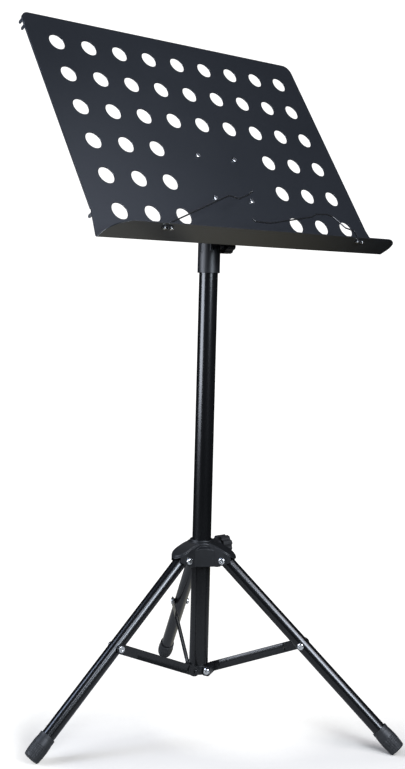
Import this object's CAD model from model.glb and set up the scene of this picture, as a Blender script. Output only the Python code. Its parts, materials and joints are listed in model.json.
import json
import math

import bpy
from mathutils import Matrix, Vector


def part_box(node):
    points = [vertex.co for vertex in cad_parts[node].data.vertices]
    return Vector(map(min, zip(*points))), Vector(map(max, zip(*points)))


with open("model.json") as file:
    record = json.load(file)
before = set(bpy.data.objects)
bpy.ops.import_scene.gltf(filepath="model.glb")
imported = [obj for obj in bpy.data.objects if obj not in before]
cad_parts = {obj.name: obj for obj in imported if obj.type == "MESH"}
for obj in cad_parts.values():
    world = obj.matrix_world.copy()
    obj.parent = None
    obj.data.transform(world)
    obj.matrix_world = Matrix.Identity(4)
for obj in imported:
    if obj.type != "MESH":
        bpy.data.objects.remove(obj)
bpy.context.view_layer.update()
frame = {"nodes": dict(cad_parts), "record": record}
nodes = frame["nodes"]
record = frame["record"]
scene = bpy.context.scene
print("stand loaded:", len(nodes), "nodes")


# A value on its way through a material: sums and products of it become Math nodes
class Field:
    def __init__(self, tree, socket):
        self.tree = tree
        self.socket = socket

    # One new node: its settings come first, then the values or links of its sockets
    def make(self, kind, settings=None, inputs=None, output=0):
        made = self.tree.nodes.new(kind)
        for name, value in (settings or {}).items():
            if name == "stops":
                self.setStops(made.color_ramp, value)
            else:
                setattr(made, name, value)
        for name, value in (inputs or {}).items():
            if isinstance(value, Field):
                self.tree.links.new(value.socket, made.inputs[name])
            else:
                made.inputs[name].default_value = value
        return Field(self.tree, made.outputs[output])

    def setStops(self, ramp, stops):
        while len(ramp.elements) < len(stops):
            ramp.elements.new(0.5)
        for element, (place, shade) in zip(ramp.elements, stops):
            element.position = place
            element.color = (shade, shade, shade, 1)

    def combine(self, operation, first, second):
        return self.make("ShaderNodeMath", {"operation": operation}, {0: first, 1: second})

    def __add__(self, other):
        return self.combine("ADD", self, other)

    def __radd__(self, other):
        return self.combine("ADD", other, self)

    def __sub__(self, other):
        return self.combine("SUBTRACT", self, other)

    def __rsub__(self, other):
        return self.combine("SUBTRACT", other, self)

    def __mul__(self, other):
        return self.combine("MULTIPLY", self, other)

    def __rmul__(self, other):
        return self.combine("MULTIPLY", other, self)

    def noise(self, scale, detail=2.0, roughness=0.5):
        settings = {"Vector": self, "Scale": scale, "Detail": detail, "Roughness": roughness}
        return self.make("ShaderNodeTexNoise", {}, settings)

    def ramp(self, *stops):
        return self.make("ShaderNodeValToRGB", {"stops": stops}, {"Fac": self})

    # Noise lies about one half: this turns it into a swing to either side of zero
    def swing(self, amount):
        return (self - 0.5) * amount

    # A sine that runs from 0 to 1
    def wave(self):
        return self.make("ShaderNodeMath", {"operation": "SINE"}, {0: self}) * 0.5 + 0.5

    def tint(self, dark, light):
        shades = {0: self, 6: (*dark, 1), 7: (*light, 1)}
        return self.make("ShaderNodeMix", {"data_type": "RGBA"}, shades, output=2)


# A new material: gives its place on the object, and its shader to fill in
def startFinish(name):
    material = bpy.data.materials.new(name)
    material.use_nodes = True
    tree = material.node_tree
    shader = tree.nodes["Principled BSDF"]
    place = Field(tree, tree.nodes.new("ShaderNodeTexCoord").outputs["Object"])
    return material, shader, place


def feed(shader, **values):
    for name, value in values.items():
        socket = shader.inputs[name.replace("_", " ")]
        if isinstance(value, Field):
            value.tree.links.new(value.socket, socket)
        else:
            socket.default_value = value


bevelSamples = 6  # rays that feel for an edge


# Bumps of a height field over edges that are rounded by a small radius
def roundedBump(place, height, strength, depth, edge):
    soft = place.make("ShaderNodeBevel", {"samples": bevelSamples}, {"Radius": edge})
    bump = {"Strength": strength, "Distance": depth, "Height": height, "Normal": soft}
    return place.make("ShaderNodeBump", {}, bump)


# In the looks below, peel and grain are a noise's scale, and depth and edge are in metres.
# Cloud, dust, scuff, scratch and fibre are a noise's scale, detail and roughness.

# Black paint: a fine orange-peel skin, faint cloudiness and a few specks of dust
paintLooks = {
    "tubeGloss": dict(
        dark=(0.003, 0.0031, 0.0033), light=(0.006, 0.0062, 0.0066),
        rough=0.22, spread=0.05, peel=520, depth=0.000006, edge=0.0004,
    ),
    "deskSatin": dict(
        dark=(0.0125, 0.0140, 0.0165), light=(0.0165, 0.0180, 0.0210),
        rough=0.29, spread=0.05, peel=900, depth=0.000012, edge=0.0004,
    ),
    "mastSatin": dict(
        dark=(0.008, 0.008, 0.0085), light=(0.012, 0.012, 0.0125),
        rough=0.34, spread=0.06, peel=640, depth=0.00001, edge=0.0004,
    ),
    "strutGloss": dict(
        dark=(0.007, 0.0072, 0.0076), light=(0.012, 0.0122, 0.0126),
        rough=0.26, spread=0.06, peel=600, depth=0.000008, edge=0.0003,
    ),
    "wireGloss": dict(
        dark=(0.008, 0.008, 0.0085), light=(0.014, 0.014, 0.0145),
        rough=0.25, spread=0.06, peel=1200, depth=0.00002, edge=0.0001,
    ),
}
paintSkin = {
    "cloud": (9.0, 4.0),
    "cloudShare": 0.7,
    "dust": (1800.0, 1.0),
    "specks": ((0.70, 0.0), (0.78, 1.0)),
    "dustShare": 0.3,
    "dustDull": 0.1,
    "peelDetail": (3.0, 0.55),
    "peelStrength": 0.5,
}


def blackPaint(name):
    look = paintLooks[name]
    skin = paintSkin
    material, shader, place = startFinish(name)
    cloud = place.noise(*skin["cloud"])
    peel = place.noise(look["peel"], *skin["peelDetail"])
    dust = place.noise(*skin["dust"]).ramp(*skin["specks"])
    colour = (cloud * skin["cloudShare"] + dust * skin["dustShare"]).tint(look["dark"], look["light"])
    rough = look["rough"] + cloud.swing(look["spread"]) + dust * skin["dustDull"]
    bump = roundedBump(place, peel, skin["peelStrength"], look["depth"], look["edge"])
    feed(shader, Base_Color=colour, Roughness=rough, Normal=bump)
    return material


# Moulded nylon and knob plastic: fine grain, with scuffs that dull the surface a little
mouldLooks = {
    "mouldedBlack": dict(
        dark=(0.006, 0.0063, 0.0070), light=(0.011, 0.0115, 0.0122),
        rough=0.42, grain=1500, depth=0.00005, edge=0.0007,
    ),
    "knobBlack": dict(
        dark=(0.007, 0.007, 0.007), light=(0.012, 0.012, 0.012),
        rough=0.58, grain=1300, depth=0.00007, edge=0.0006,
    ),
    "nylonGrey": dict(
        dark=(0.028, 0.028, 0.028), light=(0.045, 0.045, 0.044),
        rough=0.5, grain=1500, depth=0.00004, edge=0.0002,
    ),
}
mouldSkin = {
    "cloud": (30.0, 5.0, 0.6),
    "cloudShare": 0.6,
    "scuff": (160.0, 6.0, 0.7),
    "scuffEdge": ((0.58, 0.0), (0.72, 1.0)),
    "scuffShare": 0.4,
    "scuffDull": 0.12,
    "grainSpread": 0.1,
    "grainStrength": 0.6,
}


def mouldedSkin(name):
    look = mouldLooks[name]
    skin = mouldSkin
    material, shader, place = startFinish(name)
    cloud = place.noise(*skin["cloud"])
    grain = place.noise(look["grain"])
    scuff = place.noise(*skin["scuff"]).ramp(*skin["scuffEdge"])
    colour = (cloud * skin["cloudShare"] + scuff * skin["scuffShare"]).tint(look["dark"], look["light"])
    rough = look["rough"] + scuff * skin["scuffDull"] + grain.swing(skin["grainSpread"])
    bump = roundedBump(place, grain, skin["grainStrength"], look["depth"], look["edge"])
    feed(shader, Base_Color=colour, Roughness=rough, Normal=bump)
    return material


# Plated or turned metal: fine scratches over slow clouding
metalLooks = {
    "zincPlate": dict(dark=(0.70, 0.71, 0.72), light=(0.94, 0.94, 0.92), rough=0.24, edge=0.0003),
    "turnedBrass": dict(dark=(0.50, 0.36, 0.14), light=(0.80, 0.62, 0.30), rough=0.28, edge=0.0002),
}
metalSkin = {
    "cloud": (240.0, 4.0),
    "cloudShare": 0.7,
    "scratch": (2600.0, 4.0, 0.7),
    "scratchShare": 0.3,
    "scratchSpread": 0.2,
    "scratchStrength": 0.3,
    "depth": 0.00002,
}


def bareMetal(name):
    look = metalLooks[name]
    skin = metalSkin
    material, shader, place = startFinish(name)
    cloud = place.noise(*skin["cloud"])
    scratch = place.noise(*skin["scratch"])
    colour = (cloud * skin["cloudShare"] + scratch * skin["scratchShare"]).tint(look["dark"], look["light"])
    rough = look["rough"] + scratch.swing(skin["scratchSpread"])
    bump = roundedBump(place, scratch, skin["scratchStrength"], skin["depth"], look["edge"])
    feed(shader, Base_Color=colour, Metallic=1.0, Roughness=rough, Normal=bump)
    return material


# Foot rubber: a smooth neck, and below it pips between the moulded rings, with pale scuffs on their tops
footLook = {
    "dark": (0.010, 0.0105, 0.0110),
    "light": (0.066, 0.067, 0.070),
    "rough": 0.50,
    "columns": 22,
    "pipEdge": ((0.35, 0.0), (0.65, 1.0)),
    "length": 0.032,
    "tread": ((0.45, 0.0), (0.52, 1.0)),
    "treadDull": 0.08,
    "grain": 1400.0,
    "grainSpread": 0.1,
    "grainHeight": 0.1,
    "cloud": (60.0, 5.0, 0.6),
    "cloudShare": 0.2,
    "scuff": (420.0, 4.0, 0.7),
    "scuffEdge": ((0.52, 0.0), (0.66, 1.0)),
    "scuffShare": 0.7,
    "strength": 0.7,
    "depth": 0.0012,
    "edge": 0.0004,
}


# The foot's own axes: along runs down the leg, and around goes about it
def footSkin(name, centre, turn):
    look = footLook
    material, shader, place = startFinish(name)
    axes = {"Vector": place, "Location": centre, "Rotation": turn}
    local = place.make("ShaderNodeMapping", {"vector_type": "TEXTURE"}, axes)
    across, aside, along = (local.make("ShaderNodeSeparateXYZ", {}, {0: local}, axis) for axis in range(3))
    around = across.make("ShaderNodeMath", {"operation": "ARCTAN2"}, {0: across, 1: aside})
    tread = (along * (1 / look["length"]) + 0.5).ramp(*look["tread"])
    pips = (around * look["columns"]).wave().ramp(*look["pipEdge"]) * tread
    grain = place.noise(look["grain"])
    cloud = place.noise(*look["cloud"])
    scuff = place.noise(*look["scuff"]).ramp(*look["scuffEdge"]) * pips
    colour = (cloud * look["cloudShare"] + scuff * look["scuffShare"]).tint(look["dark"], look["light"])
    rough = look["rough"] + tread * look["treadDull"] + grain.swing(look["grainSpread"])
    height = pips + grain * look["grainHeight"]
    bump = roundedBump(place, height, look["strength"], look["depth"], look["edge"])
    feed(shader, Base_Color=colour, Roughness=rough, Normal=bump)
    return material


finishes = {}
for name in paintLooks:
    finishes[name] = blackPaint(name)
for name in mouldLooks:
    finishes[name] = mouldedSkin(name)
for name in metalLooks:
    finishes[name] = bareMetal(name)

# Which finish each material slot of the part wears; the feet have their own
slotFinish = {
    "tube_gloss_black": "tubeGloss",
    "mast_satin_black": "mastSatin",
    "desk_satin_black": "deskSatin",
    "strut_black": "strutGloss",
    "wire_black": "wireGloss",
    "moulded_black": "mouldedBlack",
    "knob_black": "knobBlack",
    "zinc": "zincPlate",
    "brass": "turnedBrass",
    "nylon": "nylonGrey",
}
legNumbers = (1, 2, 3)


def dress(node, finish):
    mesh = nodes[node].data
    mesh.materials.clear()
    mesh.materials.append(finishes[finish])


joints = record["behaviour"]["joints"]
pivots = {joint["name"]: Vector(joint["pos_m"]) for joint in joints if "pos_m" in joint}
for entry in record["subparts"]:
    if entry["material_slot"] in slotFinish:
        dress(entry["node"], slotFinish[entry["material_slot"]])
for leg in legNumbers:
    foot = "foot_%d" % leg
    finish = "footRubber%d" % leg
    low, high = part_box(foot)
    centre = (Vector(low) + Vector(high)) / 2
    downLeg = centre - pivots["leg_%d_fold" % leg]
    finishes[finish] = footSkin(finish, centre, downLeg.to_track_quat("Z", "Y").to_euler())
    dress(foot, finish)
print("finishes made:", len(finishes))

# Studio: a pale paper floor that fades out, a white surround for the camera, and soft boxes
studio = {
    "floorSize": 4.0,
    "ahead": (0.634, 0.773, 0.0),  # the way the camera looks, along the floor
    "sweepShift": 0.5,  # brings the distance ahead into a ramp's range
    "fibre": (3.0, 3.0),
    "paperRough": 0.9,
    "paperSpread": 0.05,
    "floor": dict(
        place=(0.03, -0.05, 0.0),
        tones=((0.83, 0.77, 0.68), (0.87, 0.81, 0.72)),
        fade=((0.06, 0.35), (0.13, 1.0), (0.25, 1.0), (0.34, 0.12)),
        sweep=((0.44, 1.0), (0.59, 0.12)),
    ),
    "bounce": dict(
        place=(0.0, 0.0, -0.002),
        tones=((0.78, 0.77, 0.74), (0.84, 0.83, 0.80)),
        fade=((0.50, 0.5), (0.96, 0.0)),
        sweep=((0.0, 1.0), (1.0, 1.0)),
    ),
    "surround": 0.006,  # the surround's strength in reflections
    "backdrop": 1.2,  # and to the camera
    "reach": 1.3,  # how far the soft boxes stand from the post
    "lights": {
        "keyLeft": dict(
            azimuth=161, height=0.50, aim=0.50, size=(0.88, 0.46), power=17.2, tint=(0.82, 0.88, 1.0),
        ),
        "backLeft": dict(
            azimuth=148, height=1.45, aim=0.9, size=(0.50, 0.55), power=9.7, tint=(0.62, 0.74, 1.0),
        ),
        "frontLow": dict(
            azimuth=262, height=0.945, aim=0.945, size=(0.42, 0.57), power=19.4, tint=(0.79, 0.88, 1.0),
        ),
        "frontMid": dict(
            azimuth=277, height=1.22, aim=1.0, size=(0.36, 0.45), power=8.2, tint=(0.82, 0.85, 1.0),
        ),
        "frontHigh": dict(
            azimuth=294, height=1.42, aim=1.0, size=(0.42, 0.40), power=6.2, tint=(0.90, 0.92, 1.0),
        ),
        "deskGlow": dict(
            azimuth=318, height=2.25, aim=0.7, size=(0.55, 0.55), power=1.75, tint=(0.74, 0.81, 1.0),
        ),
        "overCamera": dict(
            azimuth=236, height=1.32, aim=0.6, size=(0.45, 0.32), power=6.0, tint=(0.78, 0.85, 1.0),
        ),
        "backHigh": dict(
            azimuth=62, height=2.1, aim=0.6, size=(0.80, 0.60), power=4.0, tint=(0.92, 0.95, 1.0),
        ),
        "floorWarm": dict(  # lies on the floor, facing up
            azimuth=29, reach=0.62, height=0.004, aim=None,
            size=(0.80, 0.56), power=0.30, tint=(1.0, 0.88, 0.50),
        ),
    },
}


def addPaper(name, look):
    bpy.ops.object.select_all(action="DESELECT")
    bpy.ops.mesh.primitive_plane_add(size=studio["floorSize"], location=look["place"])
    paper = bpy.context.object
    paper.name = name
    material, shader, place = startFinish(name)
    fibre = place.noise(*studio["fibre"])
    reach = place.make("ShaderNodeVectorMath", {"operation": "LENGTH"}, {0: place}, "Value")
    along = {0: place, 1: studio["ahead"]}
    ahead = place.make("ShaderNodeVectorMath", {"operation": "DOT_PRODUCT"}, along, "Value")
    cover = reach.ramp(*look["fade"]) * (ahead + studio["sweepShift"]).ramp(*look["sweep"])
    rough = studio["paperRough"] + fibre.swing(studio["paperSpread"])
    feed(shader, Base_Color=fibre.tint(*look["tones"]), Roughness=rough, Alpha=cover)
    paper.data.materials.append(material)
    return paper


# The camera sees the pale floor, and the stand reflects a dimmer sheet just below it
def buildFloor():
    seen = addPaper("studioFloor", studio["floor"])
    seen.visible_diffuse = False
    seen.visible_glossy = False
    seen.visible_shadow = False
    bounce = addPaper("bounceSheet", studio["bounce"])
    bounce.visible_camera = False


def buildLights():
    for name, box in studio["lights"].items():
        data = bpy.data.lights.new(name, "AREA")
        data.shape = "RECTANGLE"
        data.size, data.size_y = box["size"]
        data.energy = box["power"]
        data.color = box["tint"]
        lamp = bpy.data.objects.new(name, data)
        scene.collection.objects.link(lamp)
        turn = math.radians(box["azimuth"])
        reach = box.get("reach", studio["reach"])
        lamp.location = Vector((reach * math.cos(turn), reach * math.sin(turn), box["height"]))
        if box["aim"] is None:
            lamp.rotation_euler = (math.pi, 0, 0)
        else:
            toStand = Vector((0, 0, box["aim"])) - lamp.location
            lamp.rotation_euler = toStand.to_track_quat("-Z", "Y").to_euler()
        lamp.visible_camera = False


# White to the camera, and nearly dark to what the stand reflects
def buildSurround():
    world = bpy.data.worlds.new("studioWorld")
    scene.world = world
    world.use_nodes = True
    tree = world.node_tree
    backdrop = tree.nodes["Background"]
    seen = Field(tree, tree.nodes.new("ShaderNodeLightPath").outputs["Is Camera Ray"])
    glow = seen * (studio["backdrop"] - studio["surround"]) + studio["surround"]
    tree.links.new(glow.socket, backdrop.inputs["Strength"])
    backdrop.inputs["Color"].default_value = (1, 1, 1, 1)


buildFloor()
buildLights()
buildSurround()
scene.view_settings.view_transform = "Standard"
print("studio lit:", len(studio["lights"]), "lights")

# Camera: where the photograph was taken from; focal and centre are in pixels of the image
shot = {
    "place": (-1.0642, -1.1069, 0.5678),
    "azimuth": 39.36,
    "pitch": 0.14,
    "roll": 1.50,
    "focal": 1150.1,
    "centre": (117.4, 286.7),
    "image": (405, 769),
    "sensor": 36.0,
    "farEnd": 200.0,
}


def setCamera():
    azimuth, pitch, roll = (math.radians(shot[name]) for name in ("azimuth", "pitch", "roll"))
    level = math.cos(pitch)
    ahead = Vector((math.sin(azimuth) * level, math.cos(azimuth) * level, math.sin(pitch)))
    flatRight = ahead.cross(Vector((0, 0, 1))).normalized()
    upright = flatRight.cross(ahead)
    right = flatRight * math.cos(roll) + upright * math.sin(roll)
    top = upright * math.cos(roll) - flatRight * math.sin(roll)
    data = bpy.data.cameras.new("photoCamera")
    camera = bpy.data.objects.new("photoCamera", data)
    scene.collection.objects.link(camera)
    turn = Matrix((right, top, -ahead)).transposed().to_4x4()
    camera.matrix_world = Matrix.Translation(shot["place"]) @ turn
    width, height = shot["image"]
    centreX, centreY = shot["centre"]
    data.sensor_width = shot["sensor"]
    data.lens = shot["focal"] / height * shot["sensor"]
    data.shift_x = (width / 2 - centreX) / height
    data.shift_y = (centreY - height / 2) / height
    data.clip_end = shot["farEnd"]
    scene.camera = camera


setCamera()
print("camera set")
